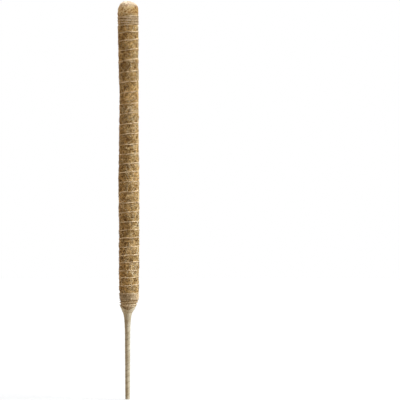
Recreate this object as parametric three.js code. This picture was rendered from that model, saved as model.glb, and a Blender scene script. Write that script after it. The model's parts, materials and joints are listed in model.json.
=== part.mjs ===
// Bendable moss pole. A soft wire runs its whole length: the lower end is wrapped in tape as the
// stake, and the rest is packed in a coir sleeve that twine holds on. Millimetres, +Z up, with the
// origin at the foot of the stake. Wire, sleeve and twine bend by hand, so each is cut into lengths
// that turn about the Y axis at the bends. The sleeve's lengths end in a ball and a socket, so the
// sleeve stays closed as it bends.
import * as THREE from 'three';

// Heights along the pole, each counted from the one before it
const STAKE_LENGTH = 104; // foot to neck
const NECK_RISE = 28.5; // neck to collar, where the tape swells in a curve
const CONE_RISE = 11; // collar to rim, where the tape cups the coir
const BASE_LENGTH = 57; // rim to the first bend
const BEND_COUNT = 13;
const BEND_SPACING = 29.2;
const TIP_LENGTH = 59.1; // last bend to the top of the pole

// Wire, and the gap left between pieces that touch
const WIRE_RADIUS = 2.25;
const WIRE_SIDES = 12;
const WIRE_COVER = 20; // coir above the wire's upper end
const FIT = 0.3;

// Tape around the stake
const FOOT_BARE = 0.4; // wire that shows under the tape
const FOOT_RADIUS = 3.2;
const NECK_RADIUS = 3.6;
const COLLAR_RADIUS = 6.4;
const RIM_RADIUS = 11.8;
const TAPE_WALL = 1.2;
const NECK_STEPS = 6;

// Coir sleeve
const COIR_RADIUS = 15.2;
const COIR_STEP = 0.5; // the sleeve stands this far out past the tape's rim
const TAPER_RISE = 28; // rim to the sleeve's full radius
const TAPER_STEPS = 5;
const DOME_HEIGHT = 14;
const DOME_FLAT_RADIUS = 2.5;
const DOME_STEPS = 5;
const COIR_COLUMNS = 20; // a multiple of 4, so that a column stands on each end of the Y axis

// Bends
const BEND_LIMIT = THREE.MathUtils.degToRad(28);
const LIP_WALL = 1.8; // wall of the sleeve around the ball of the length below
const BALL_GAP = 0.4;
const BALL_FLAT_ANGLE = THREE.MathUtils.degToRad(60); // where the ball is cut flat, above its equator
const BALL_STEPS = 4;

// Twine: open turns along the pole, and tight ones at both ends
const TWINE_RADIUS = 0.75;
const TWINE_STEPS = 16;
const TWINE_SIDES = 5;
const TWINE_START = Math.PI / 2; // the ends lie at the back, on the bends' axis
const LENGTH_TURNS = 2;
const BASE_BINDING_RISE = 2.5; // rim to the lowest turn
const BASE_TIGHT_TURNS = 7;
const BASE_TIGHT_PITCH = 2.7;
const BASE_OPEN_TURNS = 3;
const TIP_OPEN_TURNS = 2;
const TIP_TIGHT_TURNS = 4;
const TIP_TIGHT_PITCH = 3.4;
const TIP_BINDING_DROP = 22.7; // top of the pole down to the highest turn

const collarHeight = STAKE_LENGTH + NECK_RISE;
const rimHeight = collarHeight + CONE_RISE;
const bends = Array.from({ length: BEND_COUNT }, (_, i) => rimHeight + BASE_LENGTH + i * BEND_SPACING);
const firstBend = bends[0];
const lastBend = bends[BEND_COUNT - 1];
const poleHeight = lastBend + TIP_LENGTH;
const boreRadius = (WIRE_RADIUS + FIT) / Math.cos(Math.PI / COIR_COLUMNS);
const ballRadius = COIR_RADIUS - LIP_WALL - BALL_GAP;
const ballTop = ballRadius * Math.sin(BALL_FLAT_ANGLE);
const socketRadius = ballRadius + BALL_GAP;
const bevelSlope = Math.tan(BEND_LIMIT / 2);

const LOOKS = {
  wire: { color: 0xb9bbbd, roughness: 0.4, metalness: 1 },
  tape: { color: 0xa99775, roughness: 0.75, metalness: 0 },
  coir: { color: 0xa5834f, roughness: 0.95, metalness: 0 },
  twine: { color: 0xdcc7a6, roughness: 0.85, metalness: 0 },
};

const pole = new THREE.Group();

function addPiece(name, geometry, look) {
  const mesh = new THREE.Mesh(geometry, new THREE.MeshStandardMaterial(LOOKS[look]));
  mesh.name = name;
  pole.add(mesh);
  return mesh;
}

// A closed surface through rings of corners. The last ring joins the first, or both ends are capped.
function loft(rings, joined) {
  const size = rings[0].length;
  const corners = rings.flat().flatMap((corner) => corner.toArray());
  const index = [];
  const strips = joined ? rings.length : rings.length - 1;
  for (let i = 0; i < strips; i++) {
    const low = i * size;
    const high = ((i + 1) % rings.length) * size;
    for (let j = 0; j < size; j++) {
      const next = (j + 1) % size;
      index.push(low + j, low + next, high + next);
      index.push(low + j, high + next, high + j);
    }
  }
  if (!joined) {
    const last = (rings.length - 1) * size;
    for (let j = 1; j < size - 1; j++) {
      index.push(0, j + 1, j);
      index.push(last, last + j, last + j + 1);
    }
  }
  const geometry = new THREE.BufferGeometry();
  geometry.setAttribute('position', new THREE.Float32BufferAttribute(corners, 3));
  geometry.setIndex(index);
  geometry.computeVertexNormals();
  return geometry;
}

// One ring around the pole, whose radius and height may change with the angle
function ring(at) {
  return Array.from({ length: COIR_COLUMNS }, (_, i) => {
    const angle = (2 * Math.PI * i) / COIR_COLUMNS;
    const { radius, height } = at(angle);
    return new THREE.Vector3(radius * Math.cos(angle), radius * Math.sin(angle), height);
  });
}

function levelRing(radius, height) {
  return ring(() => ({ radius, height }));
}

// Sleeve ends: two flat bevels slope away from the Y axis, half the bend's limit each, and the ball
// or the socket stands inside them
function bevelRise(radius, angle) {
  return Math.abs(Math.cos(angle)) * bevelSlope * radius + BALL_GAP / 2;
}

function radiusWhereBevelMeets(sphereRadius, angle) {
  const slope = Math.abs(Math.cos(angle)) * bevelSlope;
  const rest = BALL_GAP / 2;
  const square = 1 + slope * slope;
  return (Math.sqrt(square * sphereRadius ** 2 - rest ** 2) - slope * rest) / square;
}

function bevelAngle(sphereRadius, angle) {
  const radius = radiusWhereBevelMeets(sphereRadius, angle);
  return Math.atan2(bevelRise(radius, angle), radius);
}

// Rings from the sleeve's outside, over the ball, to the bore
function ballEnd(bend) {
  const shoulder = ring((angle) => ({
    radius: COIR_RADIUS,
    height: bend - bevelRise(COIR_RADIUS, angle),
  }));
  const ball = Array.from({ length: BALL_STEPS + 1 }, (_, i) =>
    ring((angle) => {
      const foot = -bevelAngle(ballRadius, angle);
      const tilt = THREE.MathUtils.lerp(foot, BALL_FLAT_ANGLE, i / BALL_STEPS);
      return { radius: ballRadius * Math.cos(tilt), height: bend + ballRadius * Math.sin(tilt) };
    }),
  );
  return [shoulder, ...ball, levelRing(boreRadius, bend + ballTop)];
}

// Rings from the bore, down inside the socket, to the sleeve's outside
function socketEnd(bend) {
  const roof = Math.acos(boreRadius / socketRadius);
  const socket = Array.from({ length: BALL_STEPS + 1 }, (_, i) =>
    ring((angle) => {
      const lip = bevelAngle(socketRadius, angle);
      const tilt = THREE.MathUtils.lerp(roof, lip, i / BALL_STEPS);
      return { radius: socketRadius * Math.cos(tilt), height: bend + socketRadius * Math.sin(tilt) };
    }),
  );
  const wall = ring((angle) => ({
    radius: COIR_RADIUS,
    height: bend + bevelRise(COIR_RADIUS, angle),
  }));
  return [...socket, wall];
}

// The sleeve swells from the tape's rim to its full radius
function coirRadiusAt(height) {
  const rest = Math.max(1 - (height - rimHeight) / TAPER_RISE, 0);
  return COIR_RADIUS - (COIR_RADIUS - RIM_RADIUS - COIR_STEP) * rest * rest;
}

function coirBase() {
  const plug = [
    levelRing(boreRadius, collarHeight + FIT),
    levelRing(COLLAR_RADIUS - TAPE_WALL - FIT, collarHeight + FIT),
    levelRing(RIM_RADIUS - TAPE_WALL - FIT, rimHeight + FIT),
  ];
  const taper = Array.from({ length: TAPER_STEPS + 1 }, (_, i) => {
    const height = rimHeight + FIT + (i / TAPER_STEPS) * (TAPER_RISE - FIT);
    return levelRing(coirRadiusAt(height), height);
  });
  return loft([...plug, ...taper, ...ballEnd(firstBend)], true);
}

function coirTip() {
  const dome = Array.from({ length: DOME_STEPS + 1 }, (_, i) => {
    const tilt = ((Math.PI / 2) * i) / DOME_STEPS;
    const radius = DOME_FLAT_RADIUS + (COIR_RADIUS - DOME_FLAT_RADIUS) * Math.cos(tilt);
    return levelRing(radius, poleHeight - DOME_HEIGHT * (1 - Math.sin(tilt)));
  });
  const boreEnd = levelRing(boreRadius, poleHeight - WIRE_COVER + FIT);
  return loft([boreEnd, ...socketEnd(lastBend), ...dome], false);
}

// Tape: a sleeve on the wire that swells at the top and cups the foot of the coir
function stakeTape() {
  const neck = new THREE.Vector2(NECK_RADIUS, STAKE_LENGTH);
  const collar = new THREE.Vector2(COLLAR_RADIUS, collarHeight);
  const rim = new THREE.Vector2(RIM_RADIUS, rimHeight);
  const coneSlope = (RIM_RADIUS - COLLAR_RADIUS) / CONE_RISE;
  const bendPoint = new THREE.Vector2(NECK_RADIUS, collarHeight - (COLLAR_RADIUS - NECK_RADIUS) / coneSlope);
  const swell = new THREE.QuadraticBezierCurve(neck, bendPoint, collar).getPoints(NECK_STEPS);
  const profile = [
    new THREE.Vector2(boreRadius, FOOT_BARE),
    new THREE.Vector2(FOOT_RADIUS, FOOT_BARE),
    ...swell,
    rim,
    new THREE.Vector2(RIM_RADIUS - TAPE_WALL, rimHeight),
    new THREE.Vector2(COLLAR_RADIUS - TAPE_WALL, collarHeight),
    new THREE.Vector2(boreRadius, collarHeight),
    new THREE.Vector2(boreRadius, FOOT_BARE),
  ];
  return new THREE.LatheGeometry(profile, COIR_COLUMNS).rotateX(Math.PI / 2);
}

function wire(from, to) {
  const geometry = new THREE.CylinderGeometry(WIRE_RADIUS, WIRE_RADIUS, to - from, WIRE_SIDES);
  return geometry.rotateX(Math.PI / 2).translate(0, 0, (from + to) / 2);
}

// Twine: the path winds up to the right on the sleeve. Each stretch has its turns and its rise.
function windingPath(start, stretches) {
  const points = [];
  let height = start;
  let angle = TWINE_START;
  const addPoint = () => {
    const radius = (coirRadiusAt(height) + FIT + TWINE_RADIUS) / Math.cos(Math.PI / TWINE_STEPS);
    points.push(new THREE.Vector3(radius * Math.cos(angle), radius * Math.sin(angle), height));
  };
  addPoint();
  for (const { turns, rise } of stretches) {
    const steps = turns * TWINE_STEPS;
    for (let i = 0; i < steps; i++) {
      height += rise / steps;
      angle += (2 * Math.PI) / TWINE_STEPS;
      addPoint();
    }
  }
  return points;
}

function tube(points) {
  const rings = points.map((point, i) => {
    const before = points[Math.max(i - 1, 0)];
    const after = points[Math.min(i + 1, points.length - 1)];
    const along = after.clone().sub(before).normalize();
    const outward = new THREE.Vector3(point.x, point.y, 0).projectOnPlane(along).normalize();
    const across = along.clone().cross(outward);
    return Array.from({ length: TWINE_SIDES }, (_, side) => {
      const turn = (2 * Math.PI * side) / TWINE_SIDES;
      const corner = point.clone().addScaledVector(outward, TWINE_RADIUS * Math.cos(turn));
      return corner.addScaledVector(across, TWINE_RADIUS * Math.sin(turn));
    });
  });
  return loft(rings, false);
}

// Least gap between two turns of one winding, on the points of its path
function leastGapToItself(points) {
  let least = Infinity;
  for (let i = 0; i < points.length; i++) {
    for (let j = i + TWINE_STEPS / 2; j < points.length; j++) {
      least = Math.min(least, points[i].distanceTo(points[j]) - 2 * TWINE_RADIUS);
    }
  }
  return least;
}

// Height at which the twine stays off a bend, so that it clears the plane that halves the bend at
// its limit. The open turns fill the space up to one bend, or between two.
function twineClearance(space, turns, bendsMet) {
  const radius = (COIR_RADIUS + FIT + TWINE_RADIUS) / Math.cos(Math.PI / TWINE_STEPS);
  const off = (TWINE_RADIUS + FIT / 2) / Math.cos(BEND_LIMIT / 2);
  let clearance = 0;
  for (let i = 0; i <= TWINE_STEPS / 2; i++) {
    const share = i / (TWINE_STEPS * turns);
    const needed = Math.sin((2 * Math.PI * i) / TWINE_STEPS) * radius * bevelSlope + off;
    clearance = Math.max(clearance, (needed - space * share) / (1 - bendsMet * share));
  }
  return clearance;
}

function addTwine(name, points) {
  console.log(`${name}: least gap to itself ${leastGapToItself(points).toFixed(2)} mm`);
  return addPiece(name, tube(points), 'twine');
}

function addBaseBinding() {
  const start = rimHeight + BASE_BINDING_RISE;
  const tightRise = BASE_TIGHT_TURNS * BASE_TIGHT_PITCH;
  const space = firstBend - start - tightRise;
  const openRise = space - twineClearance(space, BASE_OPEN_TURNS, 1);
  const stretches = [
    { turns: BASE_TIGHT_TURNS, rise: tightRise },
    { turns: BASE_OPEN_TURNS, rise: openRise },
  ];
  return addTwine('base_binding', windingPath(start, stretches));
}

function addLengthTwine(name, bend) {
  const clearance = twineClearance(BEND_SPACING, LENGTH_TURNS, 2);
  const stretches = [{ turns: LENGTH_TURNS, rise: BEND_SPACING - 2 * clearance }];
  return addTwine(name, windingPath(bend + clearance, stretches));
}

function addTipBinding() {
  const tightRise = TIP_TIGHT_TURNS * TIP_TIGHT_PITCH;
  const space = TIP_LENGTH - TIP_BINDING_DROP - tightRise;
  const clearance = twineClearance(space, TIP_OPEN_TURNS, 1);
  const stretches = [
    { turns: TIP_OPEN_TURNS, rise: space - clearance },
    { turns: TIP_TIGHT_TURNS, rise: tightRise },
  ];
  return addTwine('tip_binding', windingPath(lastBend + clearance, stretches));
}

// The pole from the foot up: stake, lengths between the bends, tip
addPiece('stake_wire', wire(0, firstBend + ballTop), 'wire');
addPiece('stake_tape', stakeTape(), 'tape');
addPiece('coir_base', coirBase(), 'coir');
addBaseBinding();

for (let i = 1; i < BEND_COUNT; i++) {
  const bend = bends[i - 1];
  const nextBend = bends[i];
  const number = String(i).padStart(2, '0');
  addPiece(`wire_${number}`, wire(bend + socketRadius, nextBend + ballTop), 'wire');
  addPiece(`coir_${number}`, loft([...socketEnd(bend), ...ballEnd(nextBend)], true), 'coir');
  addLengthTwine(`twine_${number}`, bend);
}

addPiece('wire_tip', wire(lastBend + socketRadius, poleHeight - WIRE_COVER), 'wire');
addPiece('coir_tip', coirTip(), 'coir');
addTipBinding();

export default pole;
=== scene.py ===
import json
import math

import bmesh
import bpy
import numpy as np
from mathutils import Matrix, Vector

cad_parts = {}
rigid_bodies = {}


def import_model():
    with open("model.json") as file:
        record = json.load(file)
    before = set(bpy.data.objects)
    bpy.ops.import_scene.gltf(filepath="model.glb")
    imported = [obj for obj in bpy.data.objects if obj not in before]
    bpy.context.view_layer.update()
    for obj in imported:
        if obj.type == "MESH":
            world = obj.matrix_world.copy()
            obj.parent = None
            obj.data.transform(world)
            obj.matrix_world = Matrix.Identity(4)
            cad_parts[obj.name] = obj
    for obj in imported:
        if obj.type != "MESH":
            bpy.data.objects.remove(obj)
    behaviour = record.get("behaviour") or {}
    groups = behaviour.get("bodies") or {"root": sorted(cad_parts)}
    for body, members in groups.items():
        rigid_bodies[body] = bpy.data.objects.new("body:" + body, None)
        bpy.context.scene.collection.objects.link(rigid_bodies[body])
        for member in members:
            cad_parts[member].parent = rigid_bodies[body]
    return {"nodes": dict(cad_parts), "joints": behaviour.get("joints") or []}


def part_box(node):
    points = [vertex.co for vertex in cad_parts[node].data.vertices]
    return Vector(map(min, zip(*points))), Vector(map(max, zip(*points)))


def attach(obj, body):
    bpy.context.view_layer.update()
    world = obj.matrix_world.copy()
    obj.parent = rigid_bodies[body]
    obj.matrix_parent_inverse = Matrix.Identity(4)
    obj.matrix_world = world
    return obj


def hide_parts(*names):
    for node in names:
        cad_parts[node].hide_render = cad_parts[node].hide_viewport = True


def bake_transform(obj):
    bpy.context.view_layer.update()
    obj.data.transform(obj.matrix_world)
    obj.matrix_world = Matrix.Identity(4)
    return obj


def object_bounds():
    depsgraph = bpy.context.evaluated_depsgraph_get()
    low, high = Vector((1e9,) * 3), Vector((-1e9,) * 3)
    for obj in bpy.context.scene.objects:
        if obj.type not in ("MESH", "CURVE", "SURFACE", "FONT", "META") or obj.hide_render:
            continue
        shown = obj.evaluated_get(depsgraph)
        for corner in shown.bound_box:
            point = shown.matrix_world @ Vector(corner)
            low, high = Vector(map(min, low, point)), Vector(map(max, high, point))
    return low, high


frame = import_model()
cad_low, cad_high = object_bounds()

# Camera: a long lens level with the middle of the pole, so that the pole's sides stay parallel.
# It stands right of the pole, because the photograph has this pole left of its middle.
MM = 0.001
PHOTO_PIXELS = 400
TOP_PIXEL = 1.3
FOOT_PIXEL = 399.3
AXIS_PIXEL = 127.45
CAMERA_DISTANCE = 4.0
pixel = (cad_high.z - cad_low.z) / (FOOT_PIXEL - TOP_PIXEL)
scene = bpy.context.scene
lens = bpy.data.cameras.new("camera")
lens.lens = lens.sensor_width * CAMERA_DISTANCE / (PHOTO_PIXELS * pixel)
camera = bpy.data.objects.new("camera", lens)
camera.location.x = (PHOTO_PIXELS / 2 - AXIS_PIXEL) * pixel
camera.location.y = -CAMERA_DISTANCE
camera.location.z = (FOOT_PIXEL - PHOTO_PIXELS / 2) * pixel
camera.rotation_euler.x = math.pi / 2
scene.collection.objects.link(camera)
scene.camera = camera
scene.view_settings.view_transform = "Standard"


# Wire core: soft drawn aluminium wire through the whole pole, cut off square at the foot of the stake.
# Drawing leaves fine lines along it, and handling dulls it in patches. Only its cut foot shows.
DULL_ROUGHNESS = 0.58
BRIGHT_ROUGHNESS = 0.34


def put_node(tree, kind, inputs=None, **settings):
    """A shader node of this kind, with its settings, and with a value or a link for each named input."""
    node = tree.nodes.new(kind)
    for name, value in settings.items():
        setattr(node, name, value)
    for name, value in (inputs or {}).items():
        if isinstance(value, bpy.types.NodeSocket):
            tree.links.new(value, node.inputs[name])
        else:
            node.inputs[name].default_value = value
    return node


def fade(tree, value, ends, levels=(0.0, 1.0)):
    """Goes from the first level to the second as the value goes from one end to the other."""
    return put_node(tree, "ShaderNodeMapRange", {
        "Value": value, "From Min": ends[0], "From Max": ends[1], "To Min": levels[0], "To Max": levels[1],
    }).outputs["Result"]


def mix_colors(tree, share, first, second, blend_type="MIX"):
    """The first colour with this share of the second one mixed in, or multiplied by it."""
    return put_node(tree, "ShaderNodeMix", {
        "Factor": share, "A": first, "B": second,
    }, data_type="RGBA", blend_type=blend_type).outputs["Result"]


def new_group(name, inputs, outputs):
    """A shader node group with these named sockets, its input node and its output node."""
    group = bpy.data.node_groups.new(name, "ShaderNodeTree")
    for socket, (kind, value) in inputs.items():
        made = group.interface.new_socket(socket, in_out="INPUT", socket_type=kind)
        if value is not None:
            made.default_value = value
    for socket, kind in outputs.items():
        group.interface.new_socket(socket, in_out="OUTPUT", socket_type=kind)
    return group, group.nodes.new("NodeGroupInput").outputs, group.nodes.new("NodeGroupOutput").inputs


def make_patchy():
    """Two shades in soft patches: large ones broken up by small ones."""
    group, given, made = new_group(
        "patchy",
        {
            "Place": ("NodeSocketVector", None),
            "Patches per metre": ("NodeSocketFloat", 100.0),
            "Contrast": ("NodeSocketFloat", 1.0),
            "Balance": ("NodeSocketFloat", 0.5),
            "Dark": ("NodeSocketColor", (0.2, 0.2, 0.2, 1)),
            "Light": ("NodeSocketColor", (0.8, 0.8, 0.8, 1)),
        },
        {"Color": "NodeSocketColor", "Mask": "NodeSocketFloat"},
    )
    cloud = put_node(group, "ShaderNodeTexNoise", {
        "Vector": given["Place"], "Scale": given["Patches per metre"], "Detail": 4.0, "Roughness": 0.62,
    })
    centred = put_node(group, "ShaderNodeMath", {0: cloud.outputs["Fac"], 1: 0.5}, operation="SUBTRACT")
    spread = put_node(group, "ShaderNodeMath", {
        0: centred.outputs[0], 1: given["Contrast"], 2: given["Balance"],
    }, operation="MULTIPLY_ADD", use_clamp=True).outputs[0]
    group.links.new(mix_colors(group, spread, given["Dark"], given["Light"]), made["Color"])
    group.links.new(spread, made["Mask"])
    return group


def make_lines():
    """Fine lines that run along the third axis of the place, as a height."""
    group, given, made = new_group(
        "fine_lines",
        {
            "Place": ("NodeSocketVector", None),
            "Lines per metre": ("NodeSocketFloat", 2000.0),
            "Stretch": ("NodeSocketFloat", 0.04),
        },
        {"Height": "NodeSocketFloat"},
    )
    along = put_node(group, "ShaderNodeCombineXYZ", {"X": 1.0, "Y": 1.0, "Z": given["Stretch"]})
    drawn = put_node(group, "ShaderNodeVectorMath", {
        0: given["Place"], 1: along.outputs[0],
    }, operation="MULTIPLY")
    lines = put_node(group, "ShaderNodeTexNoise", {
        "Vector": drawn.outputs[0], "Scale": given["Lines per metre"], "Detail": 3.0, "Roughness": 0.55,
    })
    group.links.new(lines.outputs["Fac"], made["Height"])
    return group


def new_material(name, **sockets):
    """A material whose Principled shader has these fixed values, with its tree and that shader."""
    material = bpy.data.materials.new(name)
    material.use_nodes = True
    tree = material.node_tree
    shader = tree.nodes["Principled BSDF"]
    for socket, value in sockets.items():
        shader.inputs[socket.replace("_", " ")].default_value = value
    return material, tree, shader


def add_bump(tree, shader, height, strength, distance):
    """Roughens a shader's surface by this height."""
    bump = put_node(tree, "ShaderNodeBump", {"Height": height, "Strength": strength, "Distance": distance})
    tree.links.new(bump.outputs["Normal"], shader.inputs["Normal"])


patchy = make_patchy()
fine_lines = make_lines()

drawn_wire, tree, shader = new_material("drawn_wire", Metallic=1.0)
place = put_node(tree, "ShaderNodeTexCoord").outputs["Object"]
dulled = put_node(tree, "ShaderNodeGroup", {
    "Place": place, "Patches per metre": 160.0, "Contrast": 1.6,
    "Dark": (0.36, 0.35, 0.34, 1), "Light": (0.66, 0.66, 0.65, 1),
}, node_tree=patchy)
draw_lines = put_node(tree, "ShaderNodeGroup", {
    "Place": place, "Lines per metre": 2600.0, "Stretch": 0.02,
}, node_tree=fine_lines)
wire_roughness = fade(tree, dulled.outputs["Mask"], (0.0, 1.0), (DULL_ROUGHNESS, BRIGHT_ROUGHNESS))
tree.links.new(dulled.outputs["Color"], shader.inputs["Base Color"])
tree.links.new(wire_roughness, shader.inputs["Roughness"])
add_bump(tree, shader, draw_lines.outputs["Height"], strength=0.35, distance=0.05 * MM)
for name, node in frame["nodes"].items():
    if "wire" in name:
        node.data.materials.clear()
        node.data.materials.append(drawn_wire)


# Coir sleeve: coconut fibre matted round the wire, tapered into the cup of tape at its foot, domed on top.
# The twine pulls it in at each turn, so it swells between the turns, and loose fibres lie all over the felt.
# It is made in lengths: one rides on the stake, one on the tip, and one lies over each joint.

# GIRTH pairs heights with the sleeve's radius, BOW with how far its middle lies right of the wire, in mm.
GIRTH = [(132.8, 5.9), (143.5, 11.3), (146.0, 12.3), (149.0, 13.0), (155.0, 14.0), (162.0, 14.4),
         (168.0, 14.4), (190.0, 14.6), (229.0, 14.85), (275.0, 14.65), (314.0, 15.25), (367.0, 14.6),
         (404.0, 14.3), (459.0, 13.85), (520.0, 14.55), (545.0, 14.9), (575.0, 15.2), (590.0, 15.4),
         (596.0, 15.15)]
BOW = [(133.0, 0.2), (138.0, 0.8), (142.0, 0.95), (150.0, 2.2), (156.0, 2.75), (168.0, 2.15),
       (190.0, 2.35), (250.0, 2.65), (343.0, 2.1), (374.0, 2.1), (435.0, 2.65), (465.0, 2.55),
       (496.0, 1.95), (560.0, 1.3), (590.0, 1.05), (598.0, 1.2), (603.0, 1.6), (606.0, 0.7), (610.0, -0.2)]
NOMINAL_RADIUS = 15 * MM
DOME_FOOT = 596 * MM
FIBRES_ON_TOP = 0.2 * MM
DOME_HEIGHT = cad_high.z - FIBRES_ON_TOP - DOME_FOOT
DOME_POWER = 2.2

# The heights, in mm, at which the twine crosses the right front of the sleeve, turn by turn.
FOOT_TURNS = [132.5, 134.5, 136.6, 138.5, 140.4, 142.6, 144.8, 149.1, 153.0, 154.9, 156.8, 158.7, 160.6,
              162.4]
OPEN_TURNS = [175.5, 187.4, 198.0, 210.7, 221.6, 234.2, 248.3, 260.3, 272.5, 287.8, 302.1, 318.8, 334.1,
              349.1, 362.0, 376.6, 391.4, 407.5, 423.0, 439.3, 453.5, 471.5, 487.4, 502.7, 520.8, 536.3,
              551.0, 562.9]
TIP_TURNS = [574.6, 577.0, 579.4, 581.8, 584.2, 586.6, 589.0]
CROSSING = math.radians(-45)
CROSSING_TO_BACK = 0.375
LEAN_AT_FOOT = 0.14
LEAN_AT_TIP = 0.06
TIGHT_PITCH = 3.0 * MM
TURN_GROOVE = 0.10 * MM
GROOVE_WIDTH = 1.3 * MM
BINDING_PULL = 0.55 * MM
TURN_PRESS = 0.6
BINDING_PRESS = 0.8
SWELL_PER_PITCH = 0.004
FOOT_RUNOUT = 1.0 * MM
TIP_RUNOUT = 2.0 * MM
LUMP_SEED = 11
LUMP_COUNT = 28
LUMP_LENGTHS = (3.0 * MM, 9.0 * MM)
LUMP_STRETCH = 1.8
LUMP_HEIGHT = 0.09 * MM

# The felt is hollow, and more so over the joints, where the wire's lengths turn inside it.
FELT_COLUMNS = 128
FELT_ROW = 0.75 * MM
DOME_ROWS = 24
BENDING_BORE = 9.0 * MM
STILL_BORE = 3.3 * MM
WIRE_END_GAP = 0.5 * MM
BORE_MARGIN = 0.1 * MM
SHARP_ANGLE = 1.0

# The loose fibres lie in tufts, along the pole or any way. Their slants, curl and wobble are in radians.
TUFTS_PER_METRE = 5800
TUFT_FIBRES = 9
TUFT_SPREAD = 0.7 * MM
FIBRE_SEED = 100
FIBRE_POINTS = 7
FIBRE_SIDES = 4
FIBRE_LENGTHS = (7 * MM, 18 * MM)
FIBRE_RADII = (0.09 * MM, 0.2 * MM)
FIBRE_OVERHANG = 6 * MM
ALONG_SHARE = 0.45
ALONG_SLANT = 0.45
FIBRE_SLANT = 0.12
DOME_COMBING = 0.8
COMBED_FROM = 0.25
FIBRE_CURL = 0.12
FIBRE_WOBBLE = 0.10
FIBRE_RISE = (0.05 * MM, 0.45 * MM)
FIBRE_END_DEPTH = 0.1 * MM
STRAY_SHARE = 0.06
STRAY_RISE = (0.4 * MM, 1.6 * MM)
ARCH_SHARE = 0.08
ARCH_RISE = (0.7 * MM, 1.1 * MM)
TONE_SPREAD = 0.12
PALE_FROM = 0.5
DOME_PALENESS = 0.46
# On the dome's left the fibres are paler still, as painted light.
DOME_PAINTED_LIGHT_LEFT = 0.42
TAPE_CLEARANCE = 0.6 * MM
TAPE_RIM = 145.3 * MM
RIM_DIP_FRONT = 8.3 * MM
RIM_DIP_BACK = 2.5 * MM
BAKE_INSET = 0.08
TINY = 1e-9

joints = frame["joints"]
bodies = [joints[0]["parent"]] + [joint["child"] for joint in joints]
bends = np.array([joint["pos_m"][2] for joint in joints])
cuts = np.append(bends, 2 * bends[-1] - bends[-2]) - (bends[1] - bends[0]) / 2
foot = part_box("coir_base")[0].z
length_ends = [(foot, cuts[0])] + list(zip(cuts, cuts[1:])) + [(cuts[-1], cad_high.z)]
length_names = ["foot"] + [f"{number:02d}" for number in range(1, len(joints) + 1)] + ["tip"]
last_length = len(joints) + 1

turn_heights = np.array(FOOT_TURNS + OPEN_TURNS + TIP_TURNS) * MM
turn_counts = np.arange(len(turn_heights))
rises = np.diff(turn_heights)
turn_pitch = np.minimum(np.append(rises[0], rises), np.append(rises, rises[-1]))
twine_start = CROSSING_TO_BACK
twine_end = turn_counts[-2] + CROSSING_TO_BACK
binding_top = np.interp(twine_end, turn_counts, turn_heights)


def make_waves(seed, count, lengths, stretch):
    """Random ripples of these lengths, drawn out along the pole: their wave vectors and their phases."""
    rng = np.random.default_rng(seed)
    ways = rng.normal(size=(count, 3))
    ways /= np.linalg.norm(ways, axis=1)[:, None]
    ways[:, 2] /= stretch
    vectors = ways * 2 * math.pi / rng.uniform(*lengths, (count, 1))
    return vectors, rng.uniform(0, 2 * math.pi, count)


def ripple(points, waves):
    """A smooth random height, mostly from -1 to 1, at each point."""
    return np.sin(points @ waves[0].T + waves[1]).sum(1) / math.sqrt(len(waves[1]))


lump_waves = make_waves(LUMP_SEED, LUMP_COUNT, LUMP_LENGTHS, LUMP_STRETCH)


def sleeve_girth(heights):
    """The sleeve's radius at these heights, before the twine pulls it in."""
    return np.interp(np.minimum(heights, DOME_FOOT), *(np.array(GIRTH) * MM).T)


def sleeve_middle(heights):
    """The middle of the sleeve at these heights: it bows a little off the wire."""
    return np.column_stack([np.interp(heights, *(np.array(BOW) * MM).T), np.zeros(len(heights))])


def tape_edge(angle):
    """The height of the tape's upper edge round the sleeve, which dips at the front and the back."""
    front = -np.sin(angle)
    return TAPE_RIM - np.where(front > 0, RIM_DIP_FRONT, RIM_DIP_BACK) * front**2


def smooth_sleeve(points):
    """Points moved onto the sleeve as it would be with no twine and no lumps, and the normals there."""
    girth = sleeve_girth(points[:, 2])
    middle = sleeve_middle(points[:, 2])
    flat = (points[:, :2] - middle) / girth[:, None]
    above = np.maximum(points[:, 2] - DOME_FOOT, 0) / DOME_HEIGHT
    spread = np.hypot(flat[:, 0], flat[:, 1])
    size = np.maximum((spread**DOME_POWER + above**DOME_POWER) ** (1 / DOME_POWER), TINY)
    flat /= size[:, None]
    above /= size
    height = np.where(points[:, 2] > DOME_FOOT, DOME_FOOT + above * DOME_HEIGHT, points[:, 2])
    placed = np.column_stack([flat * girth[:, None] + middle, height])
    leans = (spread / size) ** (DOME_POWER - 2)
    normals = np.column_stack([flat * leans[:, None], above ** (DOME_POWER - 1) * girth / DOME_HEIGHT])
    return placed, normals / np.linalg.norm(normals, axis=1)[:, None]


def turn_lean(heights, angle):
    """How far the twine lies above an even winding: it climbs more at the back than across the front."""
    lean = np.interp(heights, turn_heights[[0, -1]], [LEAN_AT_FOOT, LEAN_AT_TIP])
    return lean * np.interp(heights, turn_heights, turn_pitch) * (math.cos(CROSSING) - np.cos(angle))


def nearest_turn(points):
    """How far each point lies above the nearest turn of twine, and the pitch of the turns there."""
    flat = points[:, :2] - sleeve_middle(points[:, 2])
    angle = np.arctan2(flat[:, 1], flat[:, 0])
    level = points[:, 2] - turn_lean(points[:, 2], angle)
    round_share = (angle - CROSSING) / (2 * math.pi)
    turn = np.round(np.interp(level, turn_heights, turn_counts) - round_share)
    above = level - np.interp(turn + round_share, turn_counts, turn_heights)
    return above, np.interp(level, turn_heights, turn_pitch)


def tightness(pitch):
    """1 where the turns of twine lie side by side, and 0 where they are wound openly."""
    return np.clip(2 - pitch / TIGHT_PITCH, 0, 1)


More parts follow.
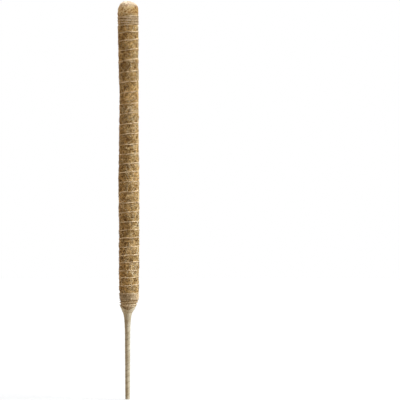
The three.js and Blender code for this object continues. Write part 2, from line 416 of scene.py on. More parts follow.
def sleeve_surface(points, lift=0.0, arch=0.0):
    """Points moved onto the felt, which is pulled in under the twine and swells between its turns.
    A lift raises a point above the felt where no twine presses on it, and an arch over the twine too."""
    placed, normals = smooth_sleeve(points)
    above, pitch = nearest_turn(placed)
    wound = np.clip((placed[:, 2] - turn_heights[0] + FOOT_RUNOUT) / FOOT_RUNOUT, 0, 1)
    wound *= np.clip((binding_top + TIP_RUNOUT - placed[:, 2]) / TIP_RUNOUT, 0, 1)
    pulled = wound * np.exp(-((above / GROOVE_WIDTH) ** 2))
    bound = wound * tightness(pitch)
    swell = SWELL_PER_PITCH * pitch * np.sin(math.pi * np.minimum(np.abs(above) / pitch, 0.5)) * wound
    height = swell - TURN_GROOVE * pulled * (1 - bound) - BINDING_PULL * bound
    free = 1 - np.maximum(TURN_PRESS * pulled, BINDING_PRESS * bound)
    height += (LUMP_HEIGHT * ripple(placed, lump_waves) + lift) * free + arch
    return placed + normals * height[:, None]


def read_points(mesh):
    """The places of a mesh's points."""
    places = np.empty(len(mesh.vertices) * 3, np.float32)
    mesh.vertices.foreach_get("co", places)
    return places.reshape(-1, 3).astype(float)


def move_points(mesh, moved):
    """Sets the places of a mesh's points."""
    mesh.vertices.foreach_set("co", moved.astype(np.float32).ravel())
    mesh.update()


def add_values(mesh, name, values):
    """Gives each point of a mesh a value of its own, which a material can read."""
    mesh.attributes.new(name, "FLOAT", "POINT").data.foreach_set("value", values.astype(np.float32))


def make_piece(name, mesh, material):
    """A piece from a finished mesh. Its points keep their places at rest, for its material's patterns."""
    mesh.name = name
    mesh.materials.clear()
    mesh.materials.append(material)
    mesh.polygons.foreach_set("use_smooth", [True] * len(mesh.polygons))
    places = read_points(mesh).astype(np.float32)
    mesh.attributes.new("rest_place", "FLOAT_VECTOR", "POINT").data.foreach_set("vector", places.ravel())
    piece = bpy.data.objects.new(name, mesh)
    scene.collection.objects.link(piece)
    return piece


def fasten(piece, index):
    """The foot and tip lengths ride on their bodies. Those between keep their places and ride on no body."""
    if index in (0, last_length):
        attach(piece, bodies[min(index, len(joints))])
    else:
        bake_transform(piece)


def spin_profile(profile, columns, closed):
    """A mesh of this outline of radius and height, turned about the pole's axis, with sharp edges marked."""
    bm = bmesh.new()
    corners = [bm.verts.new((radius, 0, height)) for radius, height in profile]
    sides = [bm.edges.new(pair) for pair in zip(corners, corners[1:])]
    if closed:
        sides.append(bm.edges.new((corners[-1], corners[0])))
    bmesh.ops.spin(bm, geom=corners + sides, cent=(0, 0, 0), axis=(0, 0, 1), dvec=(0, 0, 0),
                   angle=2 * math.pi, steps=columns, use_merge=True)
    bmesh.ops.remove_doubles(bm, verts=bm.verts, dist=0.001 * MM)
    bmesh.ops.recalc_face_normals(bm, faces=bm.faces)
    for edge in bm.edges:
        edge.smooth = edge.calc_face_angle(0) < SHARP_ANGLE
    mesh = bpy.data.meshes.new("spun")
    bm.to_mesh(mesh)
    bm.free()
    return mesh


def felt_mesh(index):
    """The felt of one length: a thick tube, or at the tip a domed plug with a blind bore for the wire."""
    low, high = length_ends[index]
    last = index == last_length
    side_top = DOME_FOOT if last else high
    rows = round((side_top - low) / FELT_ROW)
    bore = STILL_BORE if index == 0 or last else BENDING_BORE
    profile = [(NOMINAL_RADIUS, low + (side_top - low) * row / rows) for row in range(rows + 1)]
    if last:
        tilts = [math.pi / 2 * (row + 1) / DOME_ROWS for row in range(DOME_ROWS)]
        for tilt in tilts:
            profile.append((NOMINAL_RADIUS * math.cos(tilt), DOME_FOOT + DOME_HEIGHT * math.sin(tilt)))
        bore_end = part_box("wire_tip")[1].z + WIRE_END_GAP
        profile = [(0, bore_end), (bore, bore_end), (bore, low)] + profile
    else:
        profile = [(bore, high), (bore, low)] + profile
    mesh = spin_profile(profile, FELT_COLUMNS, closed=not last)
    places = read_points(mesh)
    outside = np.hypot(places[:, 0], places[:, 1]) > bore + BORE_MARGIN
    if last:
        outside |= places[:, 2] > bore_end + BORE_MARGIN
    places[outside] = sleeve_surface(places[outside])
    move_points(mesh, places)
    return mesh


def lay_fibres(rng, place, normal, heading, step, curl):
    """Paths that run over the sleeve from these places, each turning by its curl and a little at random."""
    paths = [place]
    for _ in range(FIBRE_POINTS - 1):
        turn = curl + rng.normal(0, FIBRE_WOBBLE, len(curl))
        heading = heading + np.cross(normal, heading) * turn[:, None]
        moved, normal = smooth_sleeve(place + heading * step[:, None])
        heading = moved - place
        heading /= np.maximum(np.linalg.norm(heading, axis=1), TINY)[:, None]
        place = moved
        paths.append(place)
    return np.stack(paths, 1)


def fibre_paths(index):
    """Paths, radii and tones of the loose fibres on one length, in tufts that lie along the pole or any way.
    Some fibres stand off the sleeve, and some tufts lie over the twine."""
    low, high = length_ends[index]
    rng = np.random.default_rng(FIBRE_SEED + index)
    tufts = round((high - low) * TUFTS_PER_METRE)
    count = tufts * TUFT_FIBRES
    tuft = np.repeat(np.arange(tufts), TUFT_FIBRES)
    along = rng.random(tufts) < ALONG_SHARE
    lengthwise = rng.normal(0, ALONG_SLANT, tufts)
    any_way = rng.uniform(-math.pi / 2, math.pi / 2, tufts)
    slant = np.where(along, lengthwise, any_way)
    height = rng.uniform(low, high, tufts)
    on_dome = np.clip((height - binding_top) / (cad_high.z - binding_top), 0, 1)
    slant *= 1 - DOME_COMBING * np.minimum(on_dome / COMBED_FROM, 1)
    slant = slant[tuft] + rng.normal(0, FIBRE_SLANT, count) + math.pi * rng.integers(0, 2, count)
    step = rng.uniform(*FIBRE_LENGTHS, count) / (FIBRE_POINTS - 1)
    curl = rng.normal(0, FIBRE_CURL, count)
    angle = rng.uniform(0, 2 * math.pi, tufts)[tuft] + rng.normal(0, TUFT_SPREAD, count) / NOMINAL_RADIUS
    height = height[tuft] + rng.normal(0, 2 * TUFT_SPREAD, count)
    rounded = np.sqrt(np.clip(1 - np.maximum((height - DOME_FOOT) / DOME_HEIGHT, 0) ** 2, 0, 1))
    radius = NOMINAL_RADIUS * rounded
    place, normal = smooth_sleeve(np.column_stack([np.cos(angle) * radius, np.sin(angle) * radius, height]))
    round_way = np.column_stack([-np.sin(angle), np.cos(angle), np.zeros(count)])
    up_way = np.cross(normal, round_way)
    heading = up_way * np.cos(slant)[:, None] + round_way * np.sin(slant)[:, None]
    paths = lay_fibres(rng, place, normal, heading, step, curl)

    share = np.linspace(0, 1, FIBRE_POINTS)
    hump = np.sin(math.pi * share)
    rest = rng.uniform(*FIBRE_RISE, (count, 1))
    stray = rng.uniform(*STRAY_RISE, (count, 1)) * (rng.random((count, 1)) < STRAY_SHARE)
    lift = rest * hump - FIBRE_END_DEPTH * (1 - hump) + stray * share**3
    arch = rng.uniform(*ARCH_RISE, tufts) * (rng.random(tufts) < ARCH_SHARE) * (on_dome == 0)
    arch = arch[tuft, None] * hump
    kept = paths[:, :, 2].min(1) > low - (0 if index == 0 else FIBRE_OVERHANG)
    if index != last_length:
        kept &= paths[:, :, 2].max(1) < high + FIBRE_OVERHANG
    edge = tape_edge(np.arctan2(paths[:, :, 1], paths[:, :, 0]))
    kept &= (paths[:, :, 2] - edge).min(1) > TAPE_CLEARANCE
    paths = sleeve_surface(paths.reshape(-1, 3), lift.ravel(), arch.ravel()).reshape(count, FIBRE_POINTS, 3)
    taper = np.sqrt(np.clip(1 - (2 * share - 1) ** 4, 0, 1))
    radii = rng.uniform(*FIBRE_RADII, (count, 1)) * taper
    # On the dome the fibres are paler: partly their own paler cut ends, partly painted light, most on the
    # dome's left.
    pale = np.minimum(on_dome[tuft] / PALE_FROM, 1) * (DOME_PALENESS - DOME_PAINTED_LIGHT_LEFT * np.cos(angle))
    tones = np.clip(rng.random(tufts)[tuft] + rng.normal(0, TONE_SPREAD, count), 0, 1) * (1 - pale) + pale
    return paths[kept], radii[kept], tones[kept]


def strand_mesh(paths, radii, sides, stretch):
    """Round strands along these paths, as one mesh. Each stretch of rings has a cell in the bake's map."""
    curve = bpy.data.curves.new("strands", "CURVE")
    curve.dimensions = "3D"
    curve.bevel_depth = 1.0
    curve.bevel_resolution = (sides - 4) // 2
    for path, radius in zip(paths, radii):
        spline = curve.splines.new("POLY")
        spline.points.add(len(path) - 1)
        spline.points.foreach_set("co", np.column_stack([path, np.ones(len(path))]).ravel())
        spline.points.foreach_set("radius", radius)
    holder = bpy.data.objects.new("strands", curve)
    mesh = bpy.data.meshes.new_from_object(holder)
    bpy.data.objects.remove(holder)
    bpy.data.curves.remove(curve)
    rings = len(paths[0])
    corners = np.empty(len(mesh.loops), np.int32)
    mesh.loops.foreach_get("vertex_index", corners)
    corners = corners.reshape(-1, 4)
    ring = corners // sides % rings
    column = corners % sides
    wraps = np.ptp(column, axis=1) > 1
    column = np.where(wraps[:, None] & (column == 0), sides, column)
    first = ring.min(1)
    cell = corners[:, 0] // (sides * rings) * math.ceil((rings - 1) / stretch) + first // stretch
    across = math.ceil(math.sqrt(cell.max() + 1))
    u = BAKE_INSET + (1 - 2 * BAKE_INSET) * (ring - (first // stretch * stretch)[:, None]) / stretch
    v = BAKE_INSET + (1 - 2 * BAKE_INSET) * column / sides
    uv = np.stack([(cell % across)[:, None] + u, (cell // across)[:, None] + v], 2) / across
    while mesh.uv_layers:
        mesh.uv_layers.remove(mesh.uv_layers[0])
    mesh.uv_layers.new(name="OFBake").data.foreach_set("uv", uv.astype(np.float32).ravel())
    return mesh


def close_strands(mesh):
    """Draws pointed ends together, caps blunt ones and turns all faces out."""
    bm = bmesh.new()
    bm.from_mesh(mesh)
    bmesh.ops.remove_doubles(bm, verts=bm.verts, dist=0.0001 * MM)
    bmesh.ops.holes_fill(bm, edges=[edge for edge in bm.edges if edge.is_boundary], sides=8)
    bmesh.ops.recalc_face_normals(bm, faces=bm.faces)
    bm.to_mesh(mesh)
    bm.free()


def multiply(tree, first, second):
    """One value times another."""
    return put_node(tree, "ShaderNodeMath", {0: first, 1: second}, operation="MULTIPLY").outputs[0]


def make_matted():
    """Fine strands that cross on a round piece, along it and winding to either side, as a height."""
    group, given, made = new_group(
        "matted_strands",
        {
            "Place": ("NodeSocketVector", None),
            "Strands per metre": ("NodeSocketFloat", 1500.0),
            "Twist per metre": ("NodeSocketFloat", 75.0),
        },
        {"Height": "NodeSocketFloat"},
    )
    up = put_node(group, "ShaderNodeSeparateXYZ", {"Vector": given["Place"]}).outputs["Z"]
    twist = multiply(group, up, given["Twist per metre"])
    top = 0.0
    for way in (0.0, 1.0, -1.0):
        wound = put_node(group, "ShaderNodeVectorRotate", {
            "Vector": given["Place"], "Angle": multiply(group, twist, way),
        }, rotation_type="Z_AXIS")
        strands = put_node(group, "ShaderNodeGroup", {
            "Place": wound.outputs[0], "Lines per metre": given["Strands per metre"], "Stretch": 0.1,
        }, node_tree=fine_lines)
        higher = put_node(group, "ShaderNodeMath", {
            0: strands.outputs["Height"], 1: top,
        }, operation="MAXIMUM")
        top = higher.outputs[0]
    group.links.new(top, made["Height"])
    return group


def rest_place(tree):
    """The place at rest of each point of a piece, which follows the piece as it bends."""
    return put_node(tree, "ShaderNodeAttribute", attribute_name="rest_place").outputs["Vector"]


def rest_axes(tree):
    """The place at rest of each point as X, Y and Z."""
    return put_node(tree, "ShaderNodeSeparateXYZ", {"Vector": rest_place(tree)}).outputs


def coir_place(tree):
    """The place that the coir's small patterns read, which draws them out round the pole."""
    return put_node(tree, "ShaderNodeMapping", {
        "Vector": rest_place(tree), "Scale": (0.7, 0.7, 0.9),
    }).outputs["Vector"]


LEFT_SIDE = -9 * MM
# The coir's clumps and zones are strongest on its left, as painted shade of the side away from the lamp.
CLUMP_SHADE_RIGHT = 8 * MM
CLUMP_SHADE_ON_RIGHT = 0.6
CLUMPS_TOP = DOME_FOOT + 3 * MM
CLUMPS_ON_DOME = 0.2
ZONE_SHADE_RIGHT = 4 * MM
ZONE_SHADE_ON_RIGHT = 0.5
# On the dome the coir turns to pale specks: partly paler cut ends, partly painted light on its left and
# painted shade towards its right.
DOME_SHADE_RIGHT = 12 * MM
DOME_SHADE_ON_RIGHT = (0.68, 0.56, 0.35, 1)
PALE_DOME_TOP = binding_top + 5 * MM
PALE_DOME_SHARE = 0.9
# The crown of the dome is paler: partly its own paler fibre ends, partly a painted highlight of the light
# from above.
CROWN = (599 * MM, 608 * MM)
CROWN_COLOR = (0.95, 0.85, 0.74, 1)
CROWN_SHARE = 0.62
# The coir in the cup of tape is paler, as painted light where the tape's rim shades it.
CUP_BRIM = (149 * MM, 156 * MM)
CUP_COLOR = (0.64, 0.53, 0.36, 1)
CUP_SHARE = 0.5
FELT_STRAND_HEIGHTS = (0.5, 0.75)
FELT_STRAND_SHADES = (0.35, 1.55)
FIBRE_DARKEST = (0.38, 0.21, 0.072, 1)
FIBRE_PALEST = (0.94, 0.83, 0.61, 1)
FIBRE_BROWNS = [(0.35, (0.63, 0.41, 0.16, 1)), (0.75, (0.83, 0.60, 0.28, 1))]


def clumps_and_left_shade(tree):
    """How much the coir clumps: most on the left of the sleeve, as painted shade of the side away from the
    lamp, less on its right, little on the dome.
    """
    axes = rest_axes(tree)
    below_dome = fade(tree, axes["Z"], (binding_top, CLUMPS_TOP), (1.0, CLUMPS_ON_DOME))
    on_left = fade(tree, axes["X"], (LEFT_SIDE, CLUMP_SHADE_RIGHT), (1.0, CLUMP_SHADE_ON_RIGHT))
    return multiply(tree, below_dome, on_left)


def shade_zones(tree, color):
    """A coir colour, darker or paler over stretches of some centimetres, most of all on the left, as painted
    shade of the side away from the lamp.
    On the dome it turns to pale specks: partly paler cut ends, partly painted light on its left and painted
    shade on its right. Its crown is paler, partly as a painted highlight, and in the cup of tape it is
    paler, as painted light where the tape's rim shades it."""
    axes = rest_axes(tree)
    zones = put_node(tree, "ShaderNodeGroup", {
        "Place": rest_place(tree), "Patches per metre": 26.0, "Contrast": 3.2,
        "Dark": (0.74, 0.70, 0.64, 1), "Light": (1.30, 1.28, 1.25, 1),
    }, node_tree=patchy)
    specks = put_node(tree, "ShaderNodeGroup", {
        "Place": coir_place(tree), "Patches per metre": 400.0, "Contrast": 9.0, "Balance": 0.8,
        "Dark": (0.50, 0.245, 0.065, 1), "Light": (1.0, 0.83, 0.52, 1),
    }, node_tree=patchy)
    on_left = fade(tree, axes["X"], (LEFT_SIDE, ZONE_SHADE_RIGHT), (1.0, ZONE_SHADE_ON_RIGHT))
    on_right = fade(tree, axes["X"], (LEFT_SIDE, DOME_SHADE_RIGHT))
    on_dome = fade(tree, axes["Z"], (binding_top, PALE_DOME_TOP), (0.0, PALE_DOME_SHARE))
    on_crown = fade(tree, axes["Z"], CROWN, (0.0, CROWN_SHARE))
    in_cup = fade(tree, axes["Z"], CUP_BRIM, (CUP_SHARE, 0.0))
    # The zones are strongest on the left, as painted shade.
    zoned = mix_colors(tree, on_left, color, zones.outputs["Color"], "MULTIPLY")
    # Pale specks, with painted light on the dome's left and painted shade towards its right.
    dome_specks_lit_and_shaded = mix_colors(tree, on_right, specks.outputs["Color"], DOME_SHADE_ON_RIGHT, "MULTIPLY")
    pale_lit_dome = mix_colors(tree, on_dome, zoned, dome_specks_lit_and_shaded)
    # Paler crown, partly a painted highlight.
    crowned = mix_colors(tree, on_crown, pale_lit_dome, CROWN_COLOR)
    # Paler coir in the cup, as painted light under the tape's rim.
    return mix_colors(tree, in_cup, crowned, CUP_COLOR)


matted = make_matted()

coir_felt, tree, shader = new_material("coir_felt", Roughness=0.95, Specular_IOR_Level=0.15)
place = coir_place(tree)
felt_shade = put_node(tree, "ShaderNodeGroup", {
    "Place": place, "Patches per metre": 320.0, "Contrast": 5.0, "Balance": 0.6,
    "Dark": (0.20, 0.105, 0.034, 1), "Light": (0.48, 0.30, 0.11, 1),
}, node_tree=patchy)
felt_strands = put_node(tree, "ShaderNodeGroup", {
    "Place": place, "Strands per metre": 1500.0, "Twist per metre": 75.0,
}, node_tree=matted)
strand_shade = fade(tree, felt_strands.outputs["Height"], FELT_STRAND_HEIGHTS, FELT_STRAND_SHADES)
stranded = mix_colors(tree, 1.0, felt_shade.outputs["Color"], strand_shade, "MULTIPLY")
tree.links.new(shade_zones(tree, stranded), shader.inputs["Base Color"])
add_bump(tree, shader, felt_strands.outputs["Height"], strength=1.0, distance=0.6 * MM)

coir_fibre, tree, shader = new_material("coir_fibre", Roughness=0.65, Specular_IOR_Level=0.12)
tone = put_node(tree, "ShaderNodeAttribute", attribute_name="tone").outputs["Fac"]
fibre_ramp = put_node(tree, "ShaderNodeValToRGB", {"Fac": tone})
fibre_ramp.color_ramp.elements[0].color = FIBRE_DARKEST
fibre_ramp.color_ramp.elements[1].color = FIBRE_PALEST
for position, color in FIBRE_BROWNS:
    fibre_ramp.color_ramp.elements.new(position).color = color
clumps = put_node(tree, "ShaderNodeGroup", {
    "Place": coir_place(tree), "Patches per metre": 320.0, "Contrast": 5.0, "Balance": 0.72,
    "Dark": (0.34, 0.26, 0.19, 1), "Light": (1.0, 1.0, 1.0, 1),
}, node_tree=patchy)
# The clumps darken the fibres most on the left, as painted shade.
clumped = mix_colors(
    tree, clumps_and_left_shade(tree), fibre_ramp.outputs["Color"], clumps.outputs["Color"], "MULTIPLY",
)
tree.links.new(shade_zones(tree, clumped), shader.inputs["Base Color"])

body_numbers = range(1, len(joints))
coir_nodes = ["coir_base"] + [f"coir_{number:02d}" for number in body_numbers] + ["coir_tip"]
for index, name in enumerate(length_names):
    felt = make_piece(f"coir_felt_{name}", felt_mesh(index), coir_felt)
    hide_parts(*coir_nodes[max(index - 1, 0):index + 1])
    fasten(felt, index)
    paths, radii, tones = fibre_paths(index)
    strands = strand_mesh(paths, radii, FIBRE_SIDES, FIBRE_POINTS - 1)
    add_values(strands, "tone", np.repeat(tones, len(strands.vertices) // len(tones)))
    close_strands(strands)
    fibres = make_piece(f"coir_fibres_{name}", strands, coir_fibre)
    fasten(fibres, index)


# Twine: one pale cotton strand of three plies, wound from the foot of the sleeve to under the dome.
# It binds both ends of the sleeve in tight turns, which are darker towards the left at the foot and towards
# the right at the tip, and presses into the coir.
# Its two ends are tucked into the coir at the back.
TWINE_PLIES = 3
PLY_RADIUS = 0.43 * MM
PLY_OFFSET = 0.42 * MM
PLY_LAY = 4.4 * MM
PLY_SIDES = 6
PLY_STEP = 0.55 * MM
BAKE_RINGS = 24
TWINE_SAMPLES = 40000
TWINE_SEAT = 0.35 * MM
SEAT_WANDER = 0.38 * MM
WANDER_RATES = (2.3, 5.1)
TWINE_WAVE = 0.45 * MM
WAVE_RATES = (3.7, 0.9)
TIP_BUNCHING = 0.6 * MM
BUNCHING_START = OPEN_TURNS[-1] * MM
BUNCHING_LENGTH = 10 * MM
BUNCHING_PHASE = 0.375
TUCK_DEPTH = 2.2 * MM
TUCK_LENGTH = 14 * MM
# Where the tight turns are darker: the foot binding towards its left, the tip binding towards its right.
FOOT_DARKENING_START = (147 * MM, 153 * MM)
FOOT_DARKENING_END = (164 * MM, 170 * MM)
FOOT_DARKENING_ACROSS = (-5 * MM, 11 * MM)
FOOT_DARKENING_SHARES = (0.4, 0.15)
TIP_DARKENING_START = (570 * MM, 575 * MM)
TIP_DARKENING_ACROSS = (-9 * MM, 4 * MM)
TIP_DARKENING_SHARES = (0.0, 0.26)
DARKENING_COLOR = (0.27, 0.19, 0.11, 1)

fine_turns = np.linspace(twine_start, twine_end, TWINE_SAMPLES)


def twine_centre(turns):
    """The twine's centre line at these counts of turns, and the outward way there."""
    height = np.interp(turns, turn_counts, turn_heights)
    angle = 2 * math.pi * turns + CROSSING
    loose = 1 - tightness(np.interp(height, turn_heights, turn_pitch))
    at_tip = np.clip((height - BUNCHING_START) / BUNCHING_LENGTH, 0, 1)
    bunched = at_tip * np.cos(math.pi * (turns + BUNCHING_PHASE)) * (1 - np.cos(angle)) / 2
    height += turn_lean(height, angle) + TIP_BUNCHING * bunched
    height += TWINE_WAVE * loose * np.sin(WAVE_RATES[0] * angle) * np.sin(WAVE_RATES[1] * angle)
    flat = sleeve_middle(height) + NOMINAL_RADIUS * np.column_stack([np.cos(angle), np.sin(angle)])
    placed, normals = smooth_sleeve(np.column_stack([flat, height]))
    wander = np.sin(WANDER_RATES[0] * turns) * np.sin(WANDER_RATES[1] * turns + 1.0)
    return placed + normals * (TWINE_SEAT + SEAT_WANDER * loose * wander)[:, None], normals


centre = twine_centre(fine_turns)[0]
twine_run = np.append(0, np.cumsum(np.linalg.norm(np.diff(centre, axis=0), axis=1)))
run_ends = [0.0, *np.interp(cuts, centre[:, 2], twine_run), twine_run[-1]]


def ply_paths(start, end):
    """The plies of the twine from one run along it to another."""
    steps = math.ceil((end - start) / PLY_STEP)
    run = np.linspace(start, end, steps + 1)
    turns = np.interp(run, twine_run, fine_turns)
    middle, normal = twine_centre(turns)
    tucked = np.clip(1 - np.minimum(run, twine_run[-1] - run) / TUCK_LENGTH, 0, 1)
    middle -= normal * (TUCK_DEPTH * tucked**2)[:, None]
    forward = np.gradient(middle, axis=0)
    forward /= np.linalg.norm(forward, axis=1)[:, None]
    aside = np.cross(forward, normal)
    plies = []
    for ply in range(TWINE_PLIES):
        twist = 2 * math.pi * (run / PLY_LAY + ply / TWINE_PLIES)
        way = normal * np.cos(twist)[:, None] + aside * np.sin(twist)[:, None]
        plies.append(middle + way * PLY_OFFSET)
    return plies


cotton_twine, tree, shader = new_material("cotton_twine", Roughness=0.9, Specular_IOR_Level=0.2)
place = rest_place(tree)
axes = rest_axes(tree)
yarn_shade = put_node(tree, "ShaderNodeGroup", {
    "Place": place, "Patches per metre": 150.0, "Contrast": 3.4, "Balance": 0.6,
    "Dark": (0.40, 0.26, 0.125, 1), "Light": (0.86, 0.675, 0.445, 1),
}, node_tree=patchy)
yarn_lines = put_node(tree, "ShaderNodeGroup", {
    "Place": place, "Lines per metre": 4200.0, "Stretch": 1.0,
}, node_tree=fine_lines)
# The bindings' twine is darker towards the left at the foot and towards the right at the tip.
past_cup = fade(tree, axes["Z"], FOOT_DARKENING_START)
before_open = fade(tree, axes["Z"], FOOT_DARKENING_END, (1.0, 0.0))
foot_left = fade(tree, axes["X"], FOOT_DARKENING_ACROSS, FOOT_DARKENING_SHARES)
foot_darkening = multiply(tree, multiply(tree, past_cup, before_open), foot_left)
at_tip = fade(tree, axes["Z"], TIP_DARKENING_START)
tip_right = fade(tree, axes["X"], TIP_DARKENING_ACROSS, TIP_DARKENING_SHARES)
darkening = put_node(tree, "ShaderNodeMath", {0: at_tip, 1: tip_right, 2: foot_darkening}, operation="MULTIPLY_ADD")
yarn_color = mix_colors(tree, darkening.outputs[0], yarn_shade.outputs["Color"], DARKENING_COLOR)
tree.links.new(yarn_color, shader.inputs["Base Color"])
add_bump(tree, shader, yarn_lines.outputs["Height"], strength=0.6, distance=0.12 * MM)

twine_nodes = ["base_binding"] + [f"twine_{number:02d}" for number in body_numbers] + ["tip_binding"]
for index, name in enumerate(length_names):
    plies = ply_paths(run_ends[index], run_ends[index + 1])
    strands = strand_mesh(plies, [np.full(len(ply), PLY_RADIUS) for ply in plies], PLY_SIDES, BAKE_RINGS)
    close_strands(strands)
    twine = make_piece(f"twine_{name}", strands, cotton_twine)
    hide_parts(*twine_nodes[max(index - 1, 0):index + 1])
    fasten(twine, index)


# Tape: beige crepe tape, wound tight up the bare end of the wire as the stake, and on over the foot of the
# sleeve as a cup. Each turn on the stake laps the last, and the twine under the tape stands out through it.
# The cup's edge is folded in and dips at the front, where coir and twine show above it.

# TAPE_GIRTH pairs heights with the tape's radius, in mm, up to the collar where the sleeve starts.
TAPE_GIRTH = [(0.0, 3.45), (91.0, 3.93), (104.0, 4.15), (114.0, 4.47), (121.0, 4.9), (125.5, 5.35),
              (129.0, 6.05), (132.5, 6.9)]
TAPE_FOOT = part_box("stake_tape")[0].z
NECK = 104 * MM
COLLAR = 132.5 * MM
COLLAR_LEDGE = 0.2 * MM
TAPE_BORE = 2.55 * MM
TAPE_SKIN = 0.45 * MM
TAPE_OVER_COIR = 1.0 * MM
TAPE_COLUMNS = 96
TAPE_ROW = 0.4 * MM
DIP_START = 124 * MM
STAKE_TURN = 9.5 * MM
STAKE_LAP = 0.16 * MM
LAP_STEP = 0.1
# Along each lap's edge on the stake the tape is darkened, as a painted shadow line.
LAP_SHADE_WIDTH = 0.5 * MM
EDGE_BEAD = 0.28 * MM
BEAD_WIDTH = 0.7 * MM
TWINE_RIDGE = 0.6 * MM
RIDGE_WIDTH = 1.0 * MM
CREASE_SEED = 23
CREASE_COUNT = 24
CREASE_LENGTHS = (1.4 * MM, 5.0 * MM)
CREASE_STRETCH = 9.0
CREASE_HEIGHT = 0.07 * MM
# The tape is paler from the neck up over the cup, as painted light.
CUP_LIGHT_FROM = (126 * MM, 136 * MM)
CUP_LIGHT_SHADES = (1.0, 1.18)
LAP_SHADE_COLOR = (0.13, 0.09, 0.05, 1)
STREAK_HEIGHTS = (0.35, 0.7)
STREAK_SHADES = (0.78, 1.06)


def tape_radius(heights):
    """The outside of the tape: nearly straight on the stake, a swelling neck, and a cup over the coir."""
    stake = np.interp(heights, *(np.array(TAPE_GIRTH) * MM).T)
    return np.where(heights < COLLAR, stake, sleeve_girth(heights) + TAPE_OVER_COIR)


def tape_bore(heights):
    """The inside of the tape: it fits the wire up to the collar, and the coir above it."""
    return np.where(heights < COLLAR + COLLAR_LEDGE, TAPE_BORE, tape_radius(heights) - TAPE_SKIN)


# The tape is spun as a straight tube of stand-in radii, and its points are then moved to where they belong.
skin_radius = 2 * MM
bore_radius = 1 * MM
tape_rows = round((TAPE_RIM - TAPE_FOOT) / TAPE_ROW)
tape_heights = np.linspace(TAPE_FOOT, TAPE_RIM, tape_rows + 1)
cup_heights = [height for height in tape_heights[::-1] if height > COLLAR]
outside = [(skin_radius, height) for height in tape_heights]
inside = [(bore_radius, height) for height in [*cup_heights, COLLAR, TAPE_FOOT]]
tape_mesh = spin_profile(outside + inside, TAPE_COLUMNS, closed=True)
places = read_points(tape_mesh)
skin = np.hypot(places[:, 0], places[:, 1]) > (skin_radius + bore_radius) / 2
angle = np.arctan2(places[:, 1], places[:, 0])
height = places[:, 2]
up_cup = np.maximum(height - DIP_START, 0) / (TAPE_RIM - DIP_START)
height = np.where(height > DIP_START, DIP_START + up_cup * (tape_edge(angle) - DIP_START), height)
radius = np.where(skin, tape_radius(height), tape_bore(height))
middle = sleeve_middle(height)[:, 0]
lap = (height / STAKE_TURN - angle / (2 * math.pi)) % 1.0
on_stake = np.clip((COLLAR - height) / (COLLAR - NECK), 0, 1)
lift = STAKE_LAP * on_stake * np.where(lap < LAP_STEP, lap / LAP_STEP, (1 - lap) / (1 - LAP_STEP))
plain = np.column_stack([middle + np.cos(angle) * radius, np.sin(angle) * radius, height])
above = nearest_turn(plain)[0]
lift += TWINE_RIDGE * np.exp(-((above / RIDGE_WIDTH) ** 2)) * np.clip((height - foot) / MM, 0, 1)
lift += EDGE_BEAD * np.exp(-(((tape_edge(angle) - height) / BEAD_WIDTH) ** 2))
crease_waves = make_waves(CREASE_SEED, CREASE_COUNT, CREASE_LENGTHS, CREASE_STRETCH)
lift += CREASE_HEIGHT * ripple(places, crease_waves)
radius += np.where(skin, lift, 0)
move_points(tape_mesh, np.column_stack([middle + np.cos(angle) * radius, np.sin(angle) * radius, height]))
# A mask along each lap's edge, for the painted shadow line there.
from_lap = np.minimum(lap, 1 - lap) * STAKE_TURN
add_values(tape_mesh, "lap_edge", np.exp(-((from_lap / LAP_SHADE_WIDTH) ** 2)) * on_stake)

crepe_tape, tree, shader = new_material("crepe_tape", Roughness=0.72, Specular_IOR_Level=0.3)
place = put_node(tree, "ShaderNodeTexCoord").outputs["Object"]
tape_shade = put_node(tree, "ShaderNodeGroup", {
    "Place": place, "Patches per metre": 110.0, "Contrast": 2.2,
    "Dark": (0.41, 0.315, 0.185, 1), "Light": (0.66, 0.575, 0.425, 1),
}, node_tree=patchy)
crepe_lines = put_node(tree, "ShaderNodeGroup", {
    "Place": place, "Lines per metre": 1500.0, "Stretch": 0.05,
}, node_tree=fine_lines)
streaks = fade(tree, crepe_lines.outputs["Height"], STREAK_HEIGHTS, STREAK_SHADES)
streaked = mix_colors(tree, 1.0, tape_shade.outputs["Color"], streaks, "MULTIPLY")
tape_height = put_node(tree, "ShaderNodeSeparateXYZ", {"Vector": place}).outputs["Z"]
# Painted light on the tape over the cup.
cup_light = fade(tree, tape_height, CUP_LIGHT_FROM, CUP_LIGHT_SHADES)
cup_lit_color = mix_colors(tree, 1.0, streaked, cup_light, "MULTIPLY")
lap_edge = put_node(tree, "ShaderNodeAttribute", attribute_name="lap_edge").outputs["Fac"]
# A painted shadow line along each lap's edge.
lap_shade = multiply(tree, lap_edge, tape_shade.outputs["Mask"])
tree.links.new(mix_colors(tree, lap_shade, cup_lit_color, LAP_SHADE_COLOR), shader.inputs["Base Color"])
add_bump(tree, shader, crepe_lines.outputs["Height"], strength=0.5, distance=0.15 * MM)
tape = make_piece("stake_tape_wound", tape_mesh, crepe_tape)
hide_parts("stake_tape")
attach(tape, bodies[0])


# Studio: a pale floor that is white in view but keeps the pole's shadow, and a warm surround that lights the
# pole softly and is white in view. A broad cool lamp stands high on the right and a little to the front, and
# a weaker warm one overhead, behind on the left.
FLOOR_SIZE = 12.0
FLOOR_PALE = (0.42, 0.37, 0.30, 1)
FLOOR_GLOW = (0.39, 0.46, 0.56, 1)
ROUND_COLOR = (1.0, 0.80, 0.64, 1)
ROUND_LIGHT = 0.215
ROUND_SEEN = (1.0, 1.0, 1.0, 1)
LAMP_COLOR = (0.89, 1.0, 1.10)
LAMP_STRENGTH = 4.9
LAMP_SPREAD = math.radians(35)
LAMP_AZIMUTH = math.radians(75)
LAMP_ELEVATION = math.radians(38)
TOP_COLOR = (1.0, 0.94, 0.87)
TOP_STRENGTH = 1.6
TOP_SPREAD = math.radians(60)
TOP_LEAN = (math.radians(-9), math.radians(-18))


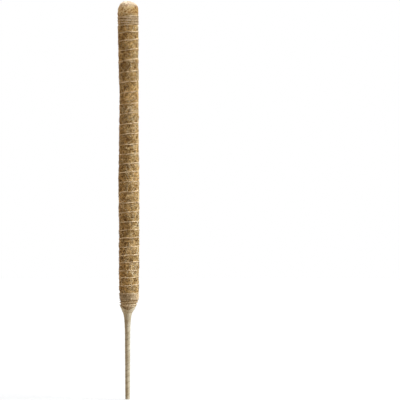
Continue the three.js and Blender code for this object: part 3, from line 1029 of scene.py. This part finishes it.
def seen_rays(tree):
    """1 for rays from the camera, and for what mirrors and clear things show of the surround."""
    path = put_node(tree, "ShaderNodeLightPath").outputs
    seen = path["Is Camera Ray"]
    for kind in ("Is Glossy Ray", "Is Transmission Ray"):
        seen = put_node(tree, "ShaderNodeMath", {0: seen, 1: path[kind]}, operation="MAXIMUM").outputs[0]
    return seen


def hang_lamp(name, color, strength, spread, turned):
    """A far lamp of this colour and strength, as broad in the sky as its spread."""
    light = bpy.data.lights.new(name, "SUN")
    light.color = color
    light.energy = strength
    light.angle = spread
    lamp = bpy.data.objects.new(name, light)
    lamp.rotation_euler = turned
    scene.collection.objects.link(lamp)


bm = bmesh.new()
bmesh.ops.create_grid(bm, x_segments=1, y_segments=1, size=FLOOR_SIZE / 2)
floor_mesh = bpy.data.meshes.new("floor")
bm.to_mesh(floor_mesh)
bm.free()
floor = bpy.data.objects.new("floor", floor_mesh)
scene.collection.objects.link(floor)

white_floor, tree, shader = new_material("white_floor", Roughness=0.9, Specular_IOR_Level=0.0)
shader.inputs["Base Color"].default_value = FLOOR_PALE
glow = put_node(tree, "ShaderNodeEmission", {"Color": FLOOR_GLOW, "Strength": seen_rays(tree)})
lit = put_node(tree, "ShaderNodeAddShader", {0: shader.outputs[0], 1: glow.outputs[0]})
tree.links.new(lit.outputs[0], tree.nodes["Material Output"].inputs["Surface"])
floor_mesh.materials.append(white_floor)

surround = bpy.data.worlds.new("surround")
surround.use_nodes = True
scene.world = surround
tree = surround.node_tree
soft = tree.nodes["Background"]
soft.inputs["Color"].default_value = ROUND_COLOR
soft.inputs["Strength"].default_value = ROUND_LIGHT
bright = put_node(tree, "ShaderNodeBackground", {"Color": ROUND_SEEN, "Strength": 1.0})
mixed = put_node(tree, "ShaderNodeMixShader", {
    0: seen_rays(tree), 1: soft.outputs[0], 2: bright.outputs[0],
})
tree.links.new(mixed.outputs[0], tree.nodes["World Output"].inputs["Surface"])

lamp_turned = (math.pi / 2 - LAMP_ELEVATION, 0, LAMP_AZIMUTH)
hang_lamp("daylight", LAMP_COLOR, LAMP_STRENGTH, LAMP_SPREAD, lamp_turned)
hang_lamp("overhead", TOP_COLOR, TOP_STRENGTH, TOP_SPREAD, (*TOP_LEAN, 0))
